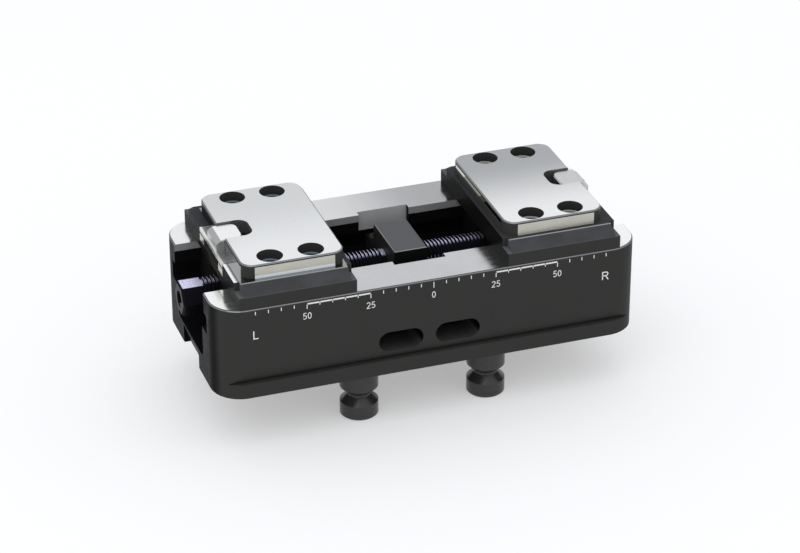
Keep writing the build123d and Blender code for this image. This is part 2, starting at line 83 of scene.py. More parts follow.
class Shader:
    """A material's node tree, filled by short calls."""

    def __init__(self, name):
        self.material = bpy.data.materials.new(name)
        self.material.use_nodes = True
        self.tree = self.material.node_tree
        self.tree.nodes.clear()
        self.place = self.node("ShaderNodeTexCoord").outputs["Object"]
        self.facing = self.node("ShaderNodeTexCoord").outputs["Normal"]

    def node(self, kind, inputs=None, **settings):
        made = self.tree.nodes.new(kind)
        for key, value in settings.items():
            setattr(made, key, value)
        for key, value in (inputs or {}).items():
            self.feed(made.inputs[key], value)
        return made

    def feed(self, socket, value):
        if isinstance(value, bpy.types.NodeSocket):
            self.tree.links.new(value, socket)
        else:
            socket.default_value = value

    def split(self, vector):
        return self.node("ShaderNodeSeparateXYZ", {0: vector}).outputs

    def math(self, operation, first, second=0.0):
        made = self.node("ShaderNodeMath", {0: first, 1: second}, operation=operation)
        return made.outputs[0]

    def part(self, value, share):
        return self.math("MULTIPLY", value, share)

    def size(self, value):
        return self.math("ABSOLUTE", value)

    def gap(self, value, target):
        return self.size(self.math("SUBTRACT", value, target))

    def ramp(self, value, low, high, start=0.0, end=1.0):
        """Goes smoothly from start to end while the value goes from low to high."""
        made = self.node(
            "ShaderNodeMapRange",
            {"Value": value, "From Min": low, "From Max": high, "To Min": start, "To Max": end},
            interpolation_type="SMOOTHSTEP",
        )
        return made.outputs["Result"]

    def over(self, value, edge, blur):
        """One above the edge and zero below it, with the change spread over the blur."""
        return self.ramp(value, edge - blur / 2, edge + blur / 2)

    def under(self, value, edge, blur):
        """One below the edge and zero above it."""
        return self.ramp(value, edge - blur / 2, edge + blur / 2, 1.0, 0.0)

    def near(self, value, target, half, blur):
        """One within half of the target, and zero beyond it."""
        return self.under(self.gap(value, target), half, blur)

    def level(self, nz):
        """One on faces that look straight up."""
        return self.over(nz, LEVEL_FACING, LEVEL_BLUR)

    def leaning(self, nz, least=LEAN_FACING):
        """One on chamfers and slopes, which look upwards at a slant."""
        return self.both(self.over(nz, least, FACING_BLUR), self.under(nz, LEVEL_FACING, LEVEL_BLUR))

    def sideways(self, part):
        """One on faces that look straight along the axis of this part of the normal."""
        return self.over(self.size(part), SIDE_FACING, FACING_BLUR)

    def both(self, *masks):
        """One where every mask is one."""
        result = masks[0]
        for mask in masks[1:]:
            result = self.math("MULTIPLY", result, mask)
        return result

    def either(self, *masks):
        """One where any mask is one."""
        result = masks[0]
        for mask in masks[1:]:
            result = self.math("MAXIMUM", result, mask)
        return result

    def noise(self, scale, detail=2.0, stretch=(1.0, 1.0, 1.0)):
        """Noise with about scale features in a metre, drawn out by stretch."""
        spread = self.node("ShaderNodeVectorMath", {0: self.place, 1: stretch}, operation="MULTIPLY")
        made = self.node(
            "ShaderNodeTexNoise",
            {"Vector": spread.outputs[0], "Scale": scale, "Detail": detail, "Roughness": 0.5},
        )
        return made.outputs["Fac"]

    def grain(self, scale, detail=2.0, stretch=(1.0, 1.0, 1.0), low=0.3, high=0.7, start=0.0, end=1.0):
        """Noise that goes from start to end between its low and high values."""
        return self.ramp(self.noise(scale, detail, stretch), low, high, start, end)

    def mix(self, factor, first, second):
        made = self.node("ShaderNodeMix", data_type="RGBA")
        self.feed(made.inputs["Factor"], factor)
        for name, value in (("A", first), ("B", second)):
            socket = next(s for s in made.inputs if s.name == name and s.type == "RGBA")
            self.feed(socket, value if isinstance(value, bpy.types.NodeSocket) else (*value, 1.0))
        return next(s for s in made.outputs if s.type == "RGBA")

    def blend(self, factor, first, second):
        made = self.node("ShaderNodeMix", {"Factor": factor}, data_type="FLOAT")
        for name, value in (("A", first), ("B", second)):
            socket = next(s for s in made.inputs if s.name == name and s.type == "VALUE")
            self.feed(socket, value)
        return next(s for s in made.outputs if s.type == "VALUE")

    def paint(self, colour, *layers):
        """Lays each colour over the last, where its mask is one."""
        for mask, layer in layers:
            colour = self.mix(mask, colour, layer)
        return colour

    def bump(self, height, distance, strength):
        made = self.node("ShaderNodeBump", {"Height": height, "Distance": distance, "Strength": strength})
        return made.outputs["Normal"]

    def finish(self, **inputs):
        surface = self.node("ShaderNodeBsdfPrincipled")
        for key, value in inputs.items():
            socket = surface.inputs[key.replace("_", " ")]
            if isinstance(value, tuple):
                value = (*value, 1.0)
            self.feed(socket, value)
        output = self.node("ShaderNodeOutputMaterial")
        self.tree.links.new(surface.outputs[0], output.inputs["Surface"])
        return self.material


# Materials

OXIDE_BLACK = (0.0440, 0.0438, 0.0418)
OXIDE_WORN = (0.0525, 0.0522, 0.0498)
# Painted shade on the base's end faces
OXIDE_END_SHADE = (0.0040, 0.0040, 0.0035)
# Painted shade inside the base's slot
INSIDE_SHADE = (0.006, 0.006, 0.007)
# Painted shade: ground chamfers darker than the ground tops
CHAMFER_SHADE = (0.22, 0.23, 0.23)
LAND_GREY = (0.34, 0.34, 0.335)
POCKET_GREY = (0.60, 0.605, 0.60)

RAIL_LIGHT = (0.60, 0.605, 0.62)
RAIL_SHADE = (0.53, 0.535, 0.55)
# Painted reflections on the rail tops: bright ends, and on the far rail a dark middle and a bright left
RAIL_END = (0.93, 0.935, 0.94)
RAIL_FAR_MIDDLE_REFLECTION = (0.40, 0.405, 0.415)
RAIL_FAR_LEFT_HIGHLIGHT = (0.80, 0.805, 0.81)

# Painted shade on the carriers' end faces
CARRIER_END_SHADE = (0.0075, 0.0075, 0.0070)
# Painted reflection on the carriers' step walls
STEP_REFLECTION = (0.100, 0.103, 0.112)
LEDGE_GREY = (0.30, 0.305, 0.315)
# Painted shade on the ledges beside and behind the plates
LEDGE_SHADE = (0.040, 0.041, 0.045)
# Painted light on the left carrier's outer ledge, with a painted highlight along its edge
OUTER_LEDGE = (0.62, 0.62, 0.62)
OUTER_EDGE_HIGHLIGHT = (0.92, 0.92, 0.92)
# Painted glint on the carrier top seen through the plate holes
HOLE_FLOOR_GLINT = (0.55, 0.55, 0.55)
# Slopes painted paler and bluish as lit from above, with painted highlights along their top and foot edges
SLOPE_LIT_PALE = (0.0660, 0.0675, 0.0716)
SLOPE_LIT_GREY = (0.0530, 0.0540, 0.0564)
SLOPE_TOP_HIGHLIGHT = (0.26, 0.26, 0.26)
SLOPE_FOOT_HIGHLIGHT = (0.07, 0.07, 0.07)

PLATE_LIGHT = (0.90, 0.91, 0.915)
PLATE_SHADE = (0.84, 0.85, 0.855)
# Painted shade towards the back of the plate tops
PLATE_FAR_SHADE = (0.40, 0.41, 0.42)
PLATE_SLOT = (0.20, 0.20, 0.195)
# Painted reflection on the plates' outer faces, lighter on the front half
OUTER_FACE_NEAR_REFLECTION = (0.40, 0.41, 0.42)
OUTER_FACE_FAR_REFLECTION = (0.10, 0.105, 0.10)
PAD_CREAM = (0.53, 0.52, 0.455)
PAD_SHADE = (0.49, 0.475, 0.42)
# Painted light on the lower band of the left pads; the right pads keep the pad shade there
PAD_FOOT = {"left": (0.80, 0.86, 0.89), "right": PAD_SHADE}
# Painted glint ring inside the plate holes
HOLE_RING_GLINT = {"left": (0.30, 0.42, 0.52), "right": (0.90, 0.90, 0.90)}
# How much of the painted shade reaches the back of each plate
FAR_SHADE_SHARE = {"left": 0.45, "right": 1.0}

LATCH_LIGHT = (0.62, 0.62, 0.61)
LATCH_SHADE = (0.54, 0.54, 0.53)
# Painted light on the tongue top, near white on the left
LATCH_TONGUE_LIGHT = {"left": (0.90, 0.90, 0.91), "right": (0.59, 0.60, 0.61)}
# Painted shade on the heel, a painted dark reflection on the bar top and a painted highlight along its
# outer edge
LATCH_HEEL_SHADE = (0.40, 0.40, 0.40)
LATCH_BAR = (0.34, 0.345, 0.35)
LATCH_BAR_HIGHLIGHT = (0.92, 0.92, 0.92)
LATCH_LEG = (0.72, 0.70, 0.63)
# Painted shade in the hollow under the latch bar
LATCH_HOLLOW_SHADE = (0.030, 0.029, 0.027)

# Painted lavender reflection on the spindle's faces that look up
SPINDLE_SHEEN_LIGHT = (0.72, 0.71, 0.94)
SPINDLE_SHEEN_SHADE = (0.695, 0.685, 0.91)
SPINDLE_BLACK = (0.0065, 0.0065, 0.0095)

# Painted shade on the block's sides, lighter on its left side, painted light on its top and a painted
# highlight along its top edge
BLOCK_SIDE_SHADE = (0.007, 0.007, 0.007)
BLOCK_LEFT_SIDE_LIGHT = (0.032, 0.031, 0.029)
BLOCK_TOP_LIGHT = (0.104, 0.106, 0.113)
BLOCK_EDGE = (0.30, 0.30, 0.30)

STUD_BLACK = (0.026, 0.026, 0.025)
STUD_WORN = (0.031, 0.031, 0.029)
PLAIN_LIGHT = (0.45, 0.45, 0.45)
PLAIN_SHADE = (0.36, 0.36, 0.36)
BRONZE_LIGHT = (0.60, 0.40, 0.18)
BRONZE_SHADE = (0.52, 0.34, 0.15)
INK_LIGHT = (0.95, 0.95, 0.93)
INK_SHADE = (0.87, 0.87, 0.85)

# Shares of a mask that a colour or the metal takes
OXIDE_CLOUDING = 0.22
STEEL_CLOUDING = 0.45
SATIN_CLOUDING = 0.5
WALL_METAL = 0.25
EDGE_METAL = 0.7
SLOT_METAL = 0.7
FOOT_METAL = 0.2
BLOCK_EDGE_METAL = 0.8
SPINDLE_METAL = 0.65
RAIL_BRIGHT_SHARE = 0.6
SIDE_HIGHLIGHT_SHARE = 0.5

# Specular levels
OXIDE_SHINE = 0.02
SPINDLE_SHINE = 0.03
STUD_SHINE = 0.50

# Roughness, and how much a grain adds to it
OXIDE_ROUGH = 0.34
PLAIN_OXIDE_ROUGH = 0.38
STUD_ROUGH = 0.18
GROUND_ROUGH = 0.26
RAIL_ROUGH = 0.12
LEDGE_ROUGH = 0.07
MIRROR_ROUGH = 0.05
LATCH_ROUGH = 0.24
SPINDLE_ROUGH = 0.26
PLAIN_ROUGH = 0.32
BRONZE_ROUGH = 0.30
INK_ROUGH = 0.6
OXIDE_SPREAD = 0.1
STEEL_SPREAD = 0.08
SPINDLE_SPREAD = 0.04

# Strength of the bumps
SHALLOW = 0.12
FAINT = 0.3
PLAIN_BUMPS = 0.4
SATIN_BUMPS = 0.5

# Noise scales, in features to a metre, and how far the lines are drawn out
FINE_GRAIN = 4200.0
SATIN_GRAIN = 3000.0
GROUND_LINES = 1800.0
STEEL_LINES = 3600.0
STEEL_CLOUD = 45.0
STEEL_GRAIN = 1400.0
SATIN_CLOUD = 120.0
OXIDE_SPECKS = 2600.0
OXIDE_PATCHES = 900.0
OXIDE_CLOUD = 70.0
PAD_CLOUD = 60.0
ALONG_X = (0.09, 1.0, 1.0)
SLOPE_STREAKS = (1.0, 0.3, 3.0)
BUMP_DEPTH = 0.002 * MM
SATIN_DEPTH = 0.003 * MM

# Widths over which a mask goes from zero to one
CRISP = 0.05 * MM
SHARP = 0.1 * MM
SOFT = 0.2 * MM

# A mask that takes in a level face or its broken edge starts this far below it
JUST_BELOW = 0.1 * MM
BROKEN_EDGE = 0.2 * MM

# Places on the base: depths under the rail tops and distances from its middle
TOP_BAND = 0.6 * MM
CHAMFER_BAND = 0.18 * MM
LAND_HEIGHT = 3.0 * MM
LAND_REACH = 20.4 * MM
POCKET_DEPTH = 8.3 * MM
POCKET_WALL = 22.9 * MM
POCKET_BAND = 0.4 * MM
INSIDE_REACH = 26.0 * MM
RAIL_END_PLACE = 74.0 * MM
RAIL_END_BLUR = 14.0 * MM
RAIL_DARK_PLACE = 24.0 * MM
RAIL_DARK_HALF = 22.0 * MM
RAIL_BRIGHT_PLACE = -8.0 * MM
RAIL_BRIGHT_BLUR = 40.0 * MM

# Places on the carriers and plates
SHOULDER_LEVEL = BASE_TOP + 5.0 * MM
SLOPE_TOP_HALF = 32.75 * MM
SLOPE_FOOT_HALF = 38.0 * MM
TOP_EDGE_WIDTH, TOP_EDGE_HEIGHT = 0.32 * MM, 0.25 * MM
FOOT_EDGE_WIDTH, FOOT_EDGE_HEIGHT = 0.14 * MM, 0.12 * MM
STEP_START = 31.4 * MM
INNER_MARGIN = 0.2 * MM
OUTER_LEDGE_WIDTH, OUTER_LEDGE_BLUR = 4.2 * MM, 0.5 * MM
OUTER_EDGE_WIDTH, OUTER_EDGE_BLUR = 1.0 * MM, 0.3 * MM
DARK_LEDGE_START = 8.0 * MM
HOLE_X, HOLE_Y = 8.0 * MM, 25.0 * MM
HOLE_REACH = 5.3 * MM
RING_DEPTH = 4.3 * MM
RING_HALF = 0.35 * MM
RIM_DEPTH = 0.6 * MM
PAD_TOP_DEPTH = 0.75 * MM
PAD_HALF_LENGTH = 15.7 * MM
INNER_PAD_DEPTH = 2.2 * MM
OUTER_FACE_DEPTH = 1.7 * MM
FACE_BAND = 0.15 * MM
PLATE_SLOT_HALF = 6.7 * MM
PAD_FOOT_HEIGHT, PAD_FOOT_BLUR = 1.15 * MM, 0.25 * MM
PLATE_TOP_BAND, PLATE_TOP_BLUR = 0.05 * MM, 0.02 * MM
FADE_START, FADE_END = -26.0 * MM, 20.0 * MM

# Places on the latches and the spindle
BAR_DEPTH = 2.45 * MM
TONGUE_THICKNESS = 2.2 * MM
BAR_EDGE_WIDTH = 0.7 * MM
LEG_START = 9.0 * MM
LEG_BAND = 0.2 * MM
HOLLOW_HALF = 9.7 * MM
HEX_DARK_LENGTH = 9.5 * MM


def oxide_colour(shader, dark=OXIDE_BLACK, light=OXIDE_WORN):
    """Black oxide with a slow cloud and a fine grain in it."""
    cloud = shader.grain(OXIDE_CLOUD, 3.0, low=0.35, high=0.75)
    specks = shader.grain(OXIDE_SPECKS, low=0.35, high=0.75)
    return shader.mix(shader.part(shader.math("ADD", cloud, specks), OXIDE_CLOUDING), dark, light)


def ground_colour(shader, light, dark):
    """Ground steel with fine lines along X and a slow cloud."""
    lines = shader.grain(STEEL_LINES, 3.0, ALONG_X, high=0.72)
    cloud = shader.grain(STEEL_CLOUD)
    return shader.mix(shader.part(shader.math("ADD", lines, cloud), STEEL_CLOUDING), light, dark)


def ground_rough(shader, rough):
    """Roughness of ground steel, in lines along X."""
    return shader.grain(GROUND_LINES, 2.0, ALONG_X, start=rough, end=rough + STEEL_SPREAD)


def oxide_finish(shader, colour, bright, rough_bright=GROUND_ROUGH):
    """Finish for pieces that are black oxide with ground faces where bright is one."""
    rough_oxide = shader.grain(OXIDE_PATCHES, start=OXIDE_ROUGH, end=OXIDE_ROUGH + OXIDE_SPREAD)
    return shader.finish(
        Base_Color=colour,
        Metallic=bright,
        Roughness=shader.blend(bright, rough_oxide, ground_rough(shader, rough_bright)),
        Specular_IOR_Level=OXIDE_SHINE,
        Normal=shader.bump(shader.noise(FINE_GRAIN), BUMP_DEPTH, FAINT),
    )


def oxide_material(name, dark, light, rough, shine, bumps):
    """Black oxide all over."""
    shader = Shader(name)
    return shader.finish(
        Base_Color=oxide_colour(shader, dark, light),
        Roughness=shader.grain(OXIDE_PATCHES, start=rough, end=rough + OXIDE_SPREAD),
        Specular_IOR_Level=shine,
        Normal=shader.bump(shader.noise(FINE_GRAIN), BUMP_DEPTH, bumps),
    )


def base_material():
    """Black oxide sides, ground rail tops, top chamfer and slot lands, with painted shade on the end faces,
    the chamfer and inside the slot, and painted reflections on the rail tops.
    """
    shader = Shader("base_black_oxide")
    x, y, z = shader.split(shader.place)
    nx, ny, nz = shader.split(shader.facing)
    away = shader.size(y)
    high_up = shader.over(z, BASE_TOP - TOP_BAND, SHARP)
    rails = shader.both(shader.level(nz), high_up)
    # Top chamfer, which takes painted shade
    edge = shader.both(shader.leaning(nz), high_up, shader.under(z, BASE_TOP - CHAMFER_BAND, SHARP))
    across = shader.sideways(ny)
    land = shader.both(
        across, shader.over(z, BASE_TOP - LAND_HEIGHT, SHARP), shader.under(away, LAND_REACH, SHARP)
    )
    pocket = shader.both(
        across,
        shader.over(z, BASE_TOP - POCKET_DEPTH, SHARP),
        shader.near(away, POCKET_WALL, POCKET_BAND, SHARP),
    )
    walls = shader.either(land, pocket)
    # Painted shade in the slot, below the rail tops
    shaded_inside = shader.both(
        shader.under(away, INSIDE_REACH, 1.0 * MM), shader.under(z, BASE_TOP - TOP_BAND, SHARP)
    )
    # Painted shade on the end faces
    shaded_end_faces = shader.over(shader.size(nx), 0.88, 0.2)

    # Rail tops: painted reflections, brighter at the ends, and on the far rail brighter at the left and
    # darker in the middle
    ends = shader.over(shader.size(x), RAIL_END_PLACE, RAIL_END_BLUR)
    far = shader.over(y, 0.0, 2.0 * MM)
    far_middle_reflection = shader.both(far, shader.near(x, RAIL_DARK_PLACE, RAIL_DARK_HALF, 2 * RAIL_DARK_HALF))
    far_left_highlight = shader.both(far, shader.under(x, RAIL_BRIGHT_PLACE, RAIL_BRIGHT_BLUR))
    ground = shader.mix(ends, ground_colour(shader, RAIL_LIGHT, RAIL_SHADE), RAIL_END)
    ground = shader.mix(far_middle_reflection, ground, RAIL_FAR_MIDDLE_REFLECTION)
    ground = shader.mix(shader.part(far_left_highlight, RAIL_BRIGHT_SHARE), ground, RAIL_FAR_LEFT_HIGHLIGHT)

    colour = shader.paint(
        oxide_colour(shader),
        (shaded_end_faces, OXIDE_END_SHADE), (shaded_inside, INSIDE_SHADE), (rails, ground),
        (edge, CHAMFER_SHADE), (walls, LAND_GREY), (pocket, POCKET_GREY),
    )
    bright = shader.either(rails, edge, shader.part(walls, WALL_METAL))
    return oxide_finish(shader, colour, bright, RAIL_ROUGH)


def over_holes(shader, side, x, y):
    """One over the four round holes of a plate."""
    from_centre = shader.gap(x, PLATE_CENTRE[side])
    return shader.both(
        shader.near(from_centre, HOLE_X, HOLE_REACH, SHARP),
        shader.near(shader.size(y), HOLE_Y, HOLE_REACH, SHARP),
    )


def carrier_material(side):
    """Black oxide with a ground top plane; painted shade on the end faces and ledges, painted light on the
    slopes, steps and left outer ledge, and painted highlights along the edges and on the hole floors.
    """
    shader = Shader(f"{side}_carrier_black_oxide")
    x, y, z = shader.split(shader.place)
    nx, ny, nz = shader.split(shader.facing)
    low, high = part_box(f"{side}_carrier")
    plate_low, plate_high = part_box(f"{side}_jaw_plate")
    outer, inner = (low.x, high.x) if side == "left" else (high.x, low.x)
    inner_width = high.x - plate_high.x if side == "left" else plate_low.x - low.x
    away = shader.size(y)
    from_outer = shader.gap(x, outer)
    from_inner = shader.gap(x, inner)
    seat = PLATE_SEAT - JUST_BELOW
    above_shoulder = shader.over(z, SHOULDER_LEVEL - JUST_BELOW, CRISP)
    top = shader.both(shader.level(nz), shader.over(z, seat, CRISP))
    slope = shader.both(shader.over(nz, 0.5, FACING_BLUR), above_shoulder, shader.under(z, seat, CRISP))
    # Painted highlights along the top and foot edges of the slopes
    top_edge_highlight = shader.both(
        shader.near(away, SLOPE_TOP_HALF, TOP_EDGE_WIDTH, SOFT),
        shader.near(z, PLATE_SEAT, TOP_EDGE_HEIGHT, SHARP),
    )
    foot_edge_highlight = shader.both(
        shader.near(away, SLOPE_FOOT_HALF, FOOT_EDGE_WIDTH, SHARP),
        shader.near(z, SHOULDER_LEVEL, FOOT_EDGE_HEIGHT, SHARP),
    )
    # Carrier top under the plate holes, painted pale for a glint
    in_holes = shader.both(top, over_holes(shader, side, x, y))
    # End faces, which take painted shade
    ends = shader.over(shader.size(nx), 0.8, 0.1)
    # Step walls and faces, which take a painted reflection
    steps = shader.both(
        shader.over(away, STEP_START, SOFT), above_shoulder, shader.either(ends, shader.over(nz, 0.9, 0.05))
    )
    outer_ledge = shader.both(top, shader.under(from_outer, OUTER_LEDGE_WIDTH, OUTER_LEDGE_BLUR))
    outer_edge_highlight = shader.both(top, shader.under(from_outer, OUTER_EDGE_WIDTH, OUTER_EDGE_BLUR))
    # Ledges in painted shade: the whole top on the right; on the left beside the inner face, at the back of
    # the outer ledge and behind the plate
    shaded_ledge = top if side == "right" else shader.either(
        shader.both(top, shader.under(from_inner, inner_width + INNER_MARGIN, SHARP)),
        shader.both(outer_ledge, shader.over(y, DARK_LEDGE_START, 1.0 * MM)),
        shader.both(top, shader.over(y, plate_high.y, SOFT)),
    )
    # Random streaks in the painted light on the slopes
    streaks = shader.grain(OXIDE_CLOUD, 3.0, SLOPE_STREAKS, low=0.35, high=0.65)
    colour = shader.paint(
        oxide_colour(shader),
        (ends, CARRIER_END_SHADE), (slope, shader.mix(streaks, SLOPE_LIT_PALE, SLOPE_LIT_GREY)), (steps, STEP_REFLECTION),
        (top, LEDGE_GREY),
    )
    # Painted light on the left outer ledge and a painted highlight on its edge
    if side == "left":
        colour = shader.paint(colour, (outer_ledge, OUTER_LEDGE), (outer_edge_highlight, OUTER_EDGE_HIGHLIGHT))
    colour = shader.paint(
        colour,
        (in_holes, HOLE_FLOOR_GLINT), (top_edge_highlight, SLOPE_TOP_HIGHLIGHT), (foot_edge_highlight, SLOPE_FOOT_HIGHLIGHT),
        (shaded_ledge, LEDGE_SHADE),
    )
    bright = shader.either(top, shader.part(shader.either(top_edge_highlight, foot_edge_highlight), EDGE_METAL))
    bright = shader.math("SUBTRACT", bright, shader.either(in_holes, shaded_ledge))
    return oxide_finish(shader, colour, bright, LEDGE_ROUGH)


def plate_material(side):
    """Ground top, cream pads on both sides and along the inner face, black rim, corners and holes; painted
    shade on the chamfered rim and towards the back of the top, painted reflection on the outer face,
    painted light on the left pads' lower band and painted glint rings in the holes.
    """
    shader = Shader(f"{side}_plate_steel")
    x, y, z = shader.split(shader.place)
    nx, ny, nz = shader.split(shader.facing)
    low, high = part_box(f"{side}_jaw_plate")
    inner, outer = (low.x, high.x) if side == "right" else (high.x, low.x)
    top = shader.both(shader.level(nz), shader.over(z, PLATE_TOP - PLATE_TOP_BAND, PLATE_TOP_BLUR))
    # Chamfered rim, which takes painted shade
    rim = shader.both(shader.leaning(nz), shader.over(z, PLATE_TOP - RIM_DEPTH, CRISP))
    below_rim = shader.under(z, PLATE_TOP - PAD_TOP_DEPTH, CRISP)
    side_pads = shader.both(
        shader.sideways(ny),
        shader.over(shader.size(y), high.y - FACE_BAND, CRISP),
        shader.under(shader.gap(x, PLATE_CENTRE[side]), PAD_HALF_LENGTH, CRISP),
        below_rim,
    )
    inner_pad = shader.both(
        shader.sideways(nx),
        shader.near(x, inner, FACE_BAND, CRISP),
        shader.over(z, PLATE_TOP - INNER_PAD_DEPTH, SHARP),
        below_rim,
    )
    pads = shader.either(side_pads, inner_pad)
    outer_face = shader.both(
        shader.sideways(nx),
        shader.near(x, outer, FACE_BAND, CRISP),
        shader.under(z, PLATE_TOP - OUTER_FACE_DEPTH, SOFT),
    )
    slot = shader.both(
        shader.under(shader.size(y), PLATE_SLOT_HALF, SHARP),
        shader.under(nz, 0.4, 0.1),
        shader.over(shader.gap(x, inner), 1.0 * MM, SOFT),
    )
    # Lower band of the side pads, painted light on the left
    foot = shader.both(shader.under(z, PLATE_SEAT + PAD_FOOT_HEIGHT, PAD_FOOT_BLUR), side_pads)
    # Painted glint ring inside the holes
    hole_glint = shader.both(
        over_holes(shader, side, x, y), shader.near(z, PLATE_TOP - RING_DEPTH, RING_HALF, SOFT)
    )
    cream = shader.mix(shader.grain(PAD_CLOUD), PAD_CREAM, PAD_SHADE)
    # Painted shade towards the back of the top
    far_shade = shader.ramp(y, FADE_START, FADE_END, 0.06, FAR_SHADE_SHARE[side])
    ground = shader.mix(far_shade, ground_colour(shader, PLATE_LIGHT, PLATE_SHADE), PLATE_FAR_SHADE)
    # Painted reflection on the outer face, lighter on the front half
    outer_reflection = shader.mix(shader.over(y, 0.0, 6.0 * MM), OUTER_FACE_NEAR_REFLECTION, OUTER_FACE_FAR_REFLECTION)
    colour = shader.paint(
        oxide_colour(shader),
        (top, ground), (rim, CHAMFER_SHADE), (outer_face, outer_reflection), (slot, PLATE_SLOT),
        (pads, shader.mix(foot, cream, PAD_FOOT[side])), (hole_glint, HOLE_RING_GLINT[side]),
    )
    bright = shader.either(top, rim, pads, outer_face, shader.part(slot, SLOT_METAL))
    bright = shader.math("SUBTRACT", bright, shader.part(foot, 1 - FOOT_METAL))
    mirror = shader.either(outer_face, inner_pad)
    return shader.finish(
        Base_Color=colour,
        Metallic=bright,
        Roughness=shader.blend(mirror, ground_rough(shader, GROUND_ROUGH), MIRROR_ROUGH),
        Specular_IOR_Level=OXIDE_SHINE,
        Normal=shader.bump(shader.noise(FINE_GRAIN), BUMP_DEPTH / 2, FAINT),
    )


def latch_material(side):
    """Satin steel latch: pale tongue and legs, greyer bar and heel, dark hollow; the tongue top carries
    painted light, the heel and hollow painted shade, and the bar top a painted dark reflection with a
    painted highlight along its outer edge.
    """
    shader = Shader(f"{side}_latch_steel")
    x, y, z = shader.split(shader.place)
    nx, ny, nz = shader.split(shader.facing)
    low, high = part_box(f"{side}_latch")
    outer = low.x if side == "left" else high.x
    bar_low = PLATE_SEAT - BAR_DEPTH
    tongue_low = high.z - TONGUE_THICKNESS
    level = shader.level(nz)
    # Tongue top, painted light: near white on the left, grey on the right
    tongue_top = shader.both(level, shader.over(z, high.z - BROKEN_EDGE, SHARP))
    # Painted shade on the slanted heel, a painted dark reflection on the bar top and a painted highlight on
    # the bar's outer edge
    heel = shader.both(shader.leaning(nz, 0.6), shader.over(z, tongue_low, SHARP))
    bar_top = shader.both(level, shader.under(z, tongue_low, SHARP), shader.over(z, bar_low, SHARP))
    bar_highlight = shader.both(bar_top, shader.near(x, outer, BAR_EDGE_WIDTH, SOFT))
    legs = shader.both(
        shader.sideways(nx),
        shader.near(x, outer, LEG_BAND, SHARP),
        shader.over(shader.size(y), LEG_START, SOFT),
    )
    # Painted shade in the hollow under the bar
    hollow = shader.both(shader.under(z, bar_low, SHARP), shader.under(shader.size(y), HOLLOW_HALF, SHARP))
    grain = shader.grain(STEEL_GRAIN, 3.0)
    colour = shader.paint(
        shader.mix(grain, LATCH_LIGHT, LATCH_SHADE),
        (tongue_top, LATCH_TONGUE_LIGHT[side]), (heel, LATCH_HEEL_SHADE), (bar_top, LATCH_BAR),
        (bar_highlight, LATCH_BAR_HIGHLIGHT), (legs, LATCH_LEG), (hollow, LATCH_HOLLOW_SHADE),
    )
    return shader.finish(
        Base_Color=colour,
        Metallic=1.0,
        Roughness=shader.blend(grain, LATCH_ROUGH, LATCH_ROUGH + STEEL_SPREAD),
        Normal=shader.bump(shader.noise(SATIN_GRAIN), BUMP_DEPTH, PLAIN_BUMPS),
    )


def spindle_material():
    """Nitrided steel, near black, with a painted lavender reflection where it faces up at rest and a weaker
    painted highlight band on the thread flanks.
    """
    shader = Shader("spindle_nitrided")
    x = shader.split(shader.place)[0]
    nx, ny, nz = shader.split(shader.facing)
    grain = shader.grain(STEEL_GRAIN, 3.0)
    # Painted highlight band on the thread flanks, away from the hexagon
    side_highlight = shader.both(
        shader.near(nz, 0.45, 0.10, 0.10),
        shader.under(shader.size(nx), 0.2, 0.1),
        shader.over(x, SPINDLE_LOW + HEX_DARK_LENGTH, SOFT),
    )
    # Painted lavender reflection where the faces look up, with the weaker side highlight
    shine = shader.either(shader.over(nz, 0.93, 0.10), shader.part(side_highlight, SIDE_HIGHLIGHT_SHARE))
    return shader.finish(
        Base_Color=shader.mix(shine, SPINDLE_BLACK, shader.mix(grain, SPINDLE_SHEEN_LIGHT, SPINDLE_SHEEN_SHADE)),
        Metallic=shader.part(shine, SPINDLE_METAL),
        Roughness=shader.blend(grain, SPINDLE_ROUGH, SPINDLE_ROUGH + SPINDLE_SPREAD),
        Specular_IOR_Level=SPINDLE_SHINE,
        Normal=shader.bump(shader.noise(SATIN_GRAIN), BUMP_DEPTH, SHALLOW),
    )


def block_material():
    """Satin grey top painted light, with a painted highlight along its edge; near black sides in painted
    shade, lighter on the left side.
    """
    shader = Shader("bearing_painted_grey")
    nx, ny, nz = shader.split(shader.facing)
    z = shader.split(shader.place)[2]
    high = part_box("bearing_block")[1]
    edge = shader.both(shader.leaning(nz), shader.over(z, high.z - BROKEN_EDGE, SHARP))
    top = shader.both(shader.level(nz), shader.over(z, high.z - JUST_BELOW, CRISP))
    # Painted shade on the sides, lighter on the left side
    sides = shader.mix(shader.under(nx, -0.7, 0.3), BLOCK_SIDE_SHADE, BLOCK_LEFT_SIDE_LIGHT)
    # Painted light on the top and a painted highlight on its edge
    colour = shader.paint(sides, (top, BLOCK_TOP_LIGHT), (edge, BLOCK_EDGE))
    return oxide_finish(shader, colour, shader.part(edge, BLOCK_EDGE_METAL))


def satin_material(name, light, dark, rough):
    """Satin metal with a fine even grain."""
    shader = Shader(name)
    grain = shader.grain(STEEL_GRAIN, 3.0)
    cloud = shader.grain(SATIN_CLOUD)
    return shader.finish(
        Base_Color=shader.mix(shader.part(shader.math("ADD", grain, cloud), SATIN_CLOUDING), light, dark),
        Metallic=1.0,
        Roughness=shader.blend(grain, rough, rough + STEEL_SPREAD),
        Normal=shader.bump(shader.noise(SATIN_GRAIN), SATIN_DEPTH, SATIN_BUMPS),
    )


def ink_material():
    """Pale laser marking with a slightly uneven tone."""
    shader = Shader("laser_marking")
    tone = shader.grain(SATIN_GRAIN)
    return shader.finish(
        Base_Color=shader.mix(tone, INK_LIGHT, INK_SHADE),
        Roughness=INK_ROUGH,
    )


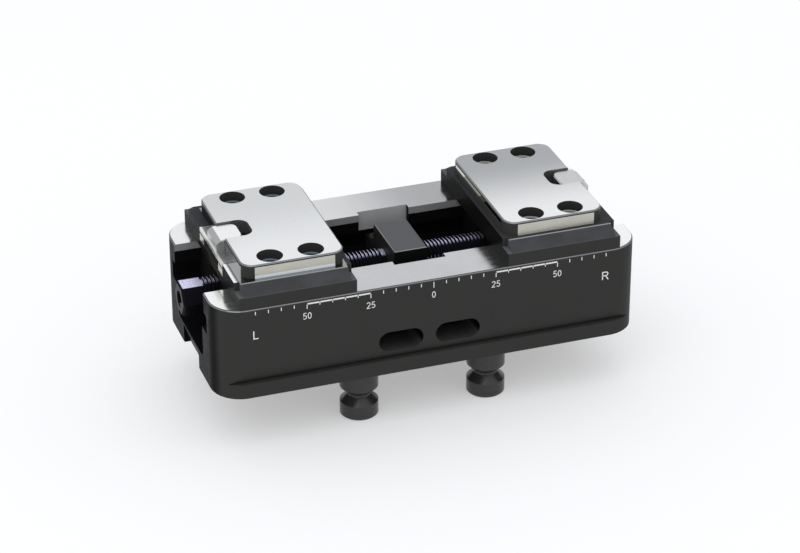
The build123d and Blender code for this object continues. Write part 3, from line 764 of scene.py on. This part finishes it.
OXIDE = oxide_material("black_oxide", OXIDE_BLACK, OXIDE_WORN, PLAIN_OXIDE_ROUGH, OXIDE_SHINE, PLAIN_BUMPS)
STUD = oxide_material("stud_polished_black", STUD_BLACK, STUD_WORN, STUD_ROUGH, STUD_SHINE, SHALLOW)
LAVENDER = spindle_material()
PLAIN = satin_material("plain_steel", PLAIN_LIGHT, PLAIN_SHADE, PLAIN_ROUGH)
BRONZE = satin_material("nut_bronze", BRONZE_LIGHT, BRONZE_SHADE, BRONZE_ROUGH)
MARKING = ink_material()


def dress(name, material):
    node = nodes[name]
    node.data.materials.clear()
    node.data.materials.append(material)


dress("base_body", base_material())
dress("bearing_block", block_material())
dress("bearing_saddle", OXIDE)
dress("thrust_ring", LAVENDER)
for name in nodes:
    if name.startswith("pull_stud"):
        dress(name, STUD)
    if name.startswith("bearing_screw"):
        dress(name, OXIDE)
    if "dowel" in name or "pin" in name.split("_"):
        dress(name, PLAIN)
for side in ("left", "right"):
    dress(f"{side}_carrier", carrier_material(side))
    dress(f"{side}_nut", BRONZE)
    dress(f"{side}_nut_lock_screw", PLAIN)
    dress(f"{side}_jaw_plate", plate_material(side))
    dress(f"{side}_latch", latch_material(side))
    dress(f"{side}_latch_spring", PLAIN)


# Mesh helpers

SHARP_ANGLE = radians(35.0)


def finish_mesh(mesh, name, material, body):
    """Turns the mesh data into a piece, smooth but for its sharp edges."""
    bmesh.ops.recalc_face_normals(mesh, faces=mesh.faces)
    for face in mesh.faces:
        face.smooth = True
    for edge in mesh.edges:
        edge.smooth = len(edge.link_faces) == 2 and edge.calc_face_angle(0.0) < SHARP_ANGLE
    data = bpy.data.meshes.new(name)
    mesh.to_mesh(data)
    mesh.free()
    piece = bpy.data.objects.new(name, data)
    bpy.context.scene.collection.objects.link(piece)
    data.materials.append(material)
    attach(piece, body)
    return piece


# Spindle: left and right hand threads, neck, and one hexagon end with a centre bore

TURN_STEPS = 48
SPARE_TURNS = 2
PITCH = 1.5 * MM
CREST_RADIUS = 7.0 * MM
THREAD_DEPTH = 0.92 * MM
ROOT_RADIUS = CREST_RADIUS - THREAD_DEPTH
END_RADIUS = ROOT_RADIUS * 0.99
NECK_RADIUS = 5.0 * MM
HEX_LENGTH = 8.6 * MM
HEX_APOTHEM = 6.0 * MM
HEX_CHAMFER = 0.7 * MM
BORE_RADIUS = 3.0 * MM
BORE_DEPTH = 9.0 * MM
BORE_CHAMFER = 0.4 * MM
THREAD_CHAMFER = 0.9 * MM
NECK_GAP = 0.05 * MM
SAME_POINT = 0.0005 * MM
NECK_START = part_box("thrust_ring")[0].x - NECK_GAP
NECK_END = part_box("bearing_block")[1].x + NECK_GAP
THREAD_START = SPINDLE_LOW + HEX_LENGTH

# One pitch of the thread, as the share of the pitch and the share of the depth
THREAD_SHAPE = (
    (0.0, 0.0), (0.13, 0.0), (0.20, 0.15), (0.42, 0.92), (0.5625, 1.0), (0.705, 0.92), (0.93, 0.15),
)


def thread_radius(share):
    """Radius of the thread at a share of the pitch, between the points of its shape."""
    share -= floor(share)
    points = THREAD_SHAPE + ((1.0, 0.0),)
    for (start, shallow), (end, deep) in zip(points, points[1:]):
        if start <= share <= end:
            depth = shallow + (deep - shallow) * (share - start) / (end - start)
            return CREST_RADIUS - THREAD_DEPTH * depth
    return CREST_RADIUS


def add_thread(mesh, start, end, hand):
    """Adds a thread from start to end and returns its two end loops."""
    per_turn = len(THREAD_SHAPE)
    turns = int((end - start) / PITCH) + 2 * SPARE_TURNS
    rows = turns * per_turn
    grid = []
    for row in range(rows):
        turn, point = divmod(row, per_turn)
        line = []
        for step in range(TURN_STEPS):
            angle = 2 * pi * step / TURN_STEPS
            lead = hand * step / TURN_STEPS
            x = start + PITCH * (turn - SPARE_TURNS + THREAD_SHAPE[point][0] + lead)
            x = min(max(x, start), end)
            radius = thread_radius((x - start) / PITCH - lead)
            inset = min(x - start, end - x)
            radius = min(radius, max(CREST_RADIUS - THREAD_CHAMFER + inset, END_RADIUS))
            line.append(mesh.verts.new(on_ring(x, radius, angle)))
        grid.append(line)
    for row in range(rows - 1):
        for step in range(TURN_STEPS):
            here, there = row, row
            if step == TURN_STEPS - 1:
                there = row + hand * per_turn
            corners = []
            for line, column in ((here, step), (there, step + 1), (there + 1, step + 1), (here + 1, step)):
                line = min(max(line, 0), rows - 1)
                corners.append(grid[line][column % TURN_STEPS])
            if len(set(corners)) == 4:
                mesh.faces.new(corners)
    return grid[0], grid[-1]


def on_ring(x, radius, angle):
    return Vector((x, radius * cos(angle), SPINDLE_LEVEL + radius * sin(angle)))


def hex_ring(mesh, x, apothem):
    ring = []
    for step in range(TURN_STEPS):
        angle = 2 * pi * step / TURN_STEPS
        within = angle % (pi / 3) - pi / 6
        ring.append(mesh.verts.new(on_ring(x, apothem / cos(within), angle)))
    return ring


def round_ring(mesh, x, radius):
    return [mesh.verts.new(on_ring(x, radius, 2 * pi * step / TURN_STEPS)) for step in range(TURN_STEPS)]


def join_rings(mesh, first, second):
    for step in range(TURN_STEPS):
        after = (step + 1) % TURN_STEPS
        mesh.faces.new((first[step], first[after], second[after], second[step]))


def chain_rings(mesh, rings):
    for first, second in zip(rings, rings[1:]):
        join_rings(mesh, first, second)
    mesh.faces.new(rings[-1])


def make_spindle():
    mesh = bmesh.new()
    left_end, left_neck = add_thread(mesh, THREAD_START, NECK_START, -1)
    right_neck, right_end = add_thread(mesh, NECK_END, SPINDLE_HIGH, 1)
    neck = [round_ring(mesh, NECK_START, NECK_RADIUS), round_ring(mesh, NECK_END, NECK_RADIUS)]
    for first, second in ((left_neck, neck[0]), (neck[0], neck[1]), (neck[1], right_neck)):
        join_rings(mesh, first, second)
    chain_rings(mesh, [right_end, round_ring(mesh, SPINDLE_HIGH, NECK_RADIUS)])
    chain_rings(mesh, [
        left_end,
        hex_ring(mesh, THREAD_START, HEX_APOTHEM),
        hex_ring(mesh, SPINDLE_LOW + HEX_CHAMFER, HEX_APOTHEM),
        hex_ring(mesh, SPINDLE_LOW, HEX_APOTHEM - HEX_CHAMFER),
        round_ring(mesh, SPINDLE_LOW, BORE_RADIUS + BORE_CHAMFER),
        round_ring(mesh, SPINDLE_LOW + BORE_CHAMFER, BORE_RADIUS),
        round_ring(mesh, SPINDLE_LOW + BORE_DEPTH, BORE_RADIUS),
    ])
    bmesh.ops.remove_doubles(mesh, verts=mesh.verts, dist=SAME_POINT)
    bmesh.ops.dissolve_degenerate(mesh, edges=mesh.edges, dist=SAME_POINT)
    return finish_mesh(mesh, "threaded_spindle", LAVENDER, "spindle")


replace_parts(make_spindle(), "spindle")


# Latch springs

SPRING_WIRE = 0.6 * MM
SPRING_TURNS = 6
SPRING_STEPS = 24


def make_spring(side):
    """A coil of square wire in the place of the node."""
    low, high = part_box(f"{side}_latch_spring")
    seat, free = (high.x, low.x) if side == "left" else (low.x, high.x)
    towards = 1 if free > seat else -1
    middle = (low.z + high.z) / 2
    radius = (high.z - low.z - SPRING_WIRE) / 2
    travel = abs(free - seat) - SPRING_WIRE
    mesh = bmesh.new()
    rows = []
    for step in range(SPRING_TURNS * SPRING_STEPS + 1):
        angle = 2 * pi * step / SPRING_STEPS
        x = seat + towards * (SPRING_WIRE / 2 + travel * step / (SPRING_TURNS * SPRING_STEPS))
        row = []
        for along, outward in ((-1, -1), (1, -1), (1, 1), (-1, 1)):
            reach = radius + outward * SPRING_WIRE / 2
            place = (x + along * SPRING_WIRE / 2, reach * cos(angle), middle + reach * sin(angle))
            row.append(mesh.verts.new(place))
        rows.append(row)
    for first, second in zip(rows, rows[1:]):
        for index in range(4):
            after = (index + 1) % 4
            mesh.faces.new((first[index], first[after], second[after], second[index]))
    mesh.faces.new(rows[0])
    mesh.faces.new(rows[-1])
    piece = finish_mesh(mesh, f"{side}_coil_spring", PLAIN, f"{side}_jaw")
    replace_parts(piece, f"{side}_latch_spring")
    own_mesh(piece)


make_spring("left")
make_spring("right")


# Scale on the front face: ticks, two brackets, numbers and the side letters

MARK_RISE = 0.02 * MM
TICK_STEP = 5
TICK_LAST = 70
TICK_WIDTH = 0.32 * MM
SHORT_TICK = 1.4 * MM
LONG_TICK = 2.4 * MM
TICK_TOP = BASE_TOP - 1.13 * MM
BRACKET_THICKNESS = 0.6 * MM
BRACKET_RISE = 0.01 * MM
BRACKET_INNER, BRACKET_OUTER = 25, 50


def add_mark(mesh, left, right, low, high):
    """A thin flat bar on the base's front face."""
    corners = []
    for y in (BASE_FRONT + MARK_RISE, BASE_FRONT - MARK_RISE):
        for x, z in ((left, low), (right, low), (right, high), (left, high)):
            corners.append(mesh.verts.new((x, y, z)))
    back, front = corners[:4], corners[4:]
    mesh.faces.new(front)
    mesh.faces.new(back[::-1])
    for index in range(4):
        after = (index + 1) % 4
        mesh.faces.new((front[after], front[index], back[index], back[after]))


def make_scale():
    ticks = bmesh.new()
    for place in range(-TICK_LAST, TICK_LAST + 1, TICK_STEP):
        length = LONG_TICK if place % BRACKET_INNER == 0 else SHORT_TICK
        centre = place * MM
        add_mark(ticks, centre - TICK_WIDTH / 2, centre + TICK_WIDTH / 2, TICK_TOP - length, TICK_TOP)
    finish_mesh(ticks, "scale_ticks", MARKING, "base")
    brackets = bmesh.new()
    for side in (-1, 1):
        left, right = sorted((side * BRACKET_INNER * MM, side * BRACKET_OUTER * MM))
        left -= TICK_WIDTH / 2
        right += TICK_WIDTH / 2
        add_mark(brackets, left, right, TICK_TOP - BRACKET_THICKNESS, TICK_TOP + BRACKET_RISE)
    finish_mesh(brackets, "scale_brackets", MARKING, "base")


def arc(centre_x, centre_z, radius_x, radius_z, start, end, steps):
    """Points along an ellipse, from one angle to another in degrees."""
    points = []
    for step in range(steps + 1):
        angle = radians(start + (end - start) * step / steps)
        points.append((centre_x + radius_x * cos(angle), centre_z + radius_z * sin(angle)))
    return points


# Centre lines of the marks in a cell one high: width, then strokes
GLYPHS = {
    "0": (0.56, [arc(0.28, 0.5, 0.22, 0.44, 90, 450, 28)]),
    "2": (0.56, [arc(0.28, 0.71, 0.22, 0.23, 170, -38, 14) + [(0.06, 0.06), (0.52, 0.06)]]),
    "5": (0.56, [[(0.50, 0.94), (0.15, 0.94), (0.08, 0.50)] + arc(0.26, 0.33, 0.24, 0.27, 120, -142, 18)]),
    "L": (0.60, [[(0.06, 1.0), (0.06, 0.06), (0.58, 0.06)]]),
    "R": (0.78, [
        [(0.06, 0.0), (0.06, 0.94)] + arc(0.44, 0.72, 0.24, 0.22, 90, -90, 12) + [(0.06, 0.50)],
        [(0.40, 0.50), (0.74, 0.0)],
    ]),
}
GLYPH_GAP = 0.12
SHARPEST_TURN = 0.45


def add_stroke(mesh, points, half):
    """A flat ribbon along the points, with its corners cut square."""
    closed = hypot(points[0][0] - points[-1][0], points[0][1] - points[-1][1]) < half / 10
    rows = []
    for index, (x, z) in enumerate(points):
        before = points[index - 1] if index or not closed else points[-2]
        after = points[index + 1] if index + 1 < len(points) else (points[1] if closed else points[index])
        if index == 0 and not closed:
            before = points[0]
        into = atan2(z - before[1], x - before[0]) if before != (x, z) else None
        out = atan2(after[1] - z, after[0] - x) if after != (x, z) else None
        into = out if into is None else into
        out = into if out is None else out
        turn = (out - into + pi) % (2 * pi) - pi
        middle = into + turn / 2 + pi / 2
        reach = half / max(cos(turn / 2), SHARPEST_TURN)
        rows.append([
            (x + reach * cos(middle), z + reach * sin(middle)),
            (x - reach * cos(middle), z - reach * sin(middle)),
        ])
    for (first_a, first_b), (second_a, second_b) in zip(rows, rows[1:]):
        flat = (first_a, first_b, second_b, second_a)
        back = [mesh.verts.new((x, BASE_FRONT + MARK_RISE, z)) for x, z in flat]
        front = [mesh.verts.new((x, BASE_FRONT - MARK_RISE, z)) for x, z in flat]
        mesh.faces.new(front)
        mesh.faces.new(back[::-1])
        for index in range(4):
            after = (index + 1) % 4
            mesh.faces.new((front[after], front[index], back[index], back[after]))


def add_word(name, word, centre_x, centre_z, height, half):
    """Plain figures and letters on the base's front face, drawn with even strokes."""
    mesh = bmesh.new()
    total = sum(GLYPHS[letter][0] for letter in word) + GLYPH_GAP * (len(word) - 1)
    cursor = -total / 2
    for letter in word:
        width, strokes = GLYPHS[letter]
        for stroke in strokes:
            placed = [(centre_x + (cursor + x) * height, centre_z + (z - 0.5) * height) for x, z in stroke]
            add_stroke(mesh, placed, half)
        cursor += width + GLYPH_GAP
    return finish_mesh(mesh, name, MARKING, "base")


NUMBER_HEIGHT = 2.75 * MM
NUMBER_LEVEL = BASE_TOP - 6.5 * MM
NUMBER_STROKE = 0.15 * MM
LETTER_HEIGHT = 3.5 * MM
LETTER_LEVEL = BASE_TOP - 11.0 * MM
LETTER_PLACE = 70.0 * MM
LETTER_STROKE = 0.21 * MM

make_scale()
for place in (-50, -25, 0, 25, 50):
    end_word = "left" if place < 0 else "right"
    name = f"scale_number_{end_word}_{abs(place)}"
    add_word(name, str(abs(place)), place * MM, NUMBER_LEVEL, NUMBER_HEIGHT, NUMBER_STROKE)
add_word("side_letter_left", "L", -LETTER_PLACE, LETTER_LEVEL, LETTER_HEIGHT, LETTER_STROKE)
add_word("side_letter_right", "R", LETTER_PLACE, LETTER_LEVEL, LETTER_HEIGHT, LETTER_STROKE)


# Studio: pale floor, even world light, soft lamps

FLOOR_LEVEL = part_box("pull_stud_1")[0].z
FLOOR_SIZE = 6.0
FLOOR_GREY = (0.62, 0.62, 0.62)
FLOOR_GLOW = 0.36
WHITE = (1.0, 1.0, 1.0)

# Brightness of the world from straight down (0) to straight up (1)
WORLD_TONES = ((0.0, (0.82, 0.82, 0.81)), (0.40, (0.94, 0.94, 0.94)), (0.85, (0.95, 0.98, 1.04)))

# Lamps: name, place, target, size and power in watts
LAMPS = (
    ("key_lamp", (-0.5, -0.5, 0.9), (0, 0, 0.02), 0.6, 0.8),
    ("top_lamp", (0.1, -0.1, 1.2), (0, 0, 0.04), 0.9, 0.9),
)


def make_floor():
    mesh = bmesh.new()
    bmesh.ops.create_grid(mesh, x_segments=4, y_segments=4, size=FLOOR_SIZE / 2)
    bmesh.ops.translate(mesh, verts=mesh.verts, vec=(0, 0, FLOOR_LEVEL))
    data = bpy.data.meshes.new("floor")
    mesh.to_mesh(data)
    mesh.free()
    floor_piece = bpy.data.objects.new("floor", data)
    bpy.context.scene.collection.objects.link(floor_piece)
    shader = Shader("floor_white")
    light_path = shader.node("ShaderNodeLightPath").outputs
    seen = shader.either(
        light_path["Is Camera Ray"], light_path["Is Glossy Ray"], light_path["Is Transmission Ray"]
    )
    data.materials.append(shader.finish(
        Base_Color=FLOOR_GREY,
        Roughness=1.0,
        Specular_IOR_Level=0.0,
        Emission_Color=WHITE,
        Emission_Strength=shader.part(seen, FLOOR_GLOW),
    ))


def make_world():
    world = bpy.data.worlds.new("studio")
    bpy.context.scene.world = world
    world.use_nodes = True
    tree = world.node_tree
    tree.nodes.clear()
    place = tree.nodes.new("ShaderNodeTexCoord")
    parts = tree.nodes.new("ShaderNodeSeparateXYZ")
    tree.links.new(place.outputs["Generated"], parts.inputs[0])
    ramp = tree.nodes.new("ShaderNodeValToRGB")
    stops = ramp.color_ramp.elements
    stops.remove(stops[1])
    for index, (height, tone) in enumerate(WORLD_TONES):
        stop = stops.new(height) if index else stops[0]
        stop.position = height
        stop.color = (*tone, 1.0)
    tree.links.new(parts.outputs["Z"], ramp.inputs["Fac"])
    background = tree.nodes.new("ShaderNodeBackground")
    tree.links.new(ramp.outputs["Color"], background.inputs["Color"])
    background.inputs["Strength"].default_value = 1.0
    output = tree.nodes.new("ShaderNodeOutputWorld")
    tree.links.new(background.outputs[0], output.inputs["Surface"])


def add_lamp(name, place, target, size, watts):
    lamp = bpy.data.lights.new(name, "AREA")
    lamp.shape = "SQUARE"
    lamp.size = size
    lamp.energy = watts
    lamp_object = bpy.data.objects.new(name, lamp)
    bpy.context.scene.collection.objects.link(lamp_object)
    lamp_object.location = place
    aim = Vector(target) - Vector(place)
    lamp_object.rotation_euler = aim.to_track_quat("-Z", "Y").to_euler()


make_floor()
make_world()
for lamp in LAMPS:
    add_lamp(*lamp)


# Camera, at the photograph's place

CAMERA_PLACE = (-0.32635, -0.94666, 0.56836)
CAMERA_AZIMUTH = radians(19.008)
CAMERA_ELEVATION = radians(28.739)
CAMERA_ROLL = radians(-0.078)
CAMERA_LENS = 131.84
CAMERA_SENSOR = 36.0


def make_camera():
    camera = bpy.data.cameras.new("camera")
    camera.lens = CAMERA_LENS
    camera.sensor_width = CAMERA_SENSOR
    camera.clip_start = 0.05
    camera.clip_end = 50.0
    forward = Vector((
        sin(CAMERA_AZIMUTH) * cos(CAMERA_ELEVATION),
        cos(CAMERA_AZIMUTH) * cos(CAMERA_ELEVATION),
        -sin(CAMERA_ELEVATION),
    ))
    level = Vector((cos(CAMERA_AZIMUTH), -sin(CAMERA_AZIMUTH), 0.0))
    upward = level.cross(forward)
    right = cos(CAMERA_ROLL) * level + sin(CAMERA_ROLL) * upward
    above = right.cross(forward)
    camera_object = bpy.data.objects.new("camera", camera)
    bpy.context.scene.collection.objects.link(camera_object)
    turn = Matrix((right, above, -forward)).transposed()
    camera_object.matrix_world = Matrix.Translation(CAMERA_PLACE) @ turn.to_4x4()
    bpy.context.scene.camera = camera_object


make_camera()
bpy.context.scene.view_settings.view_transform = "Standard"
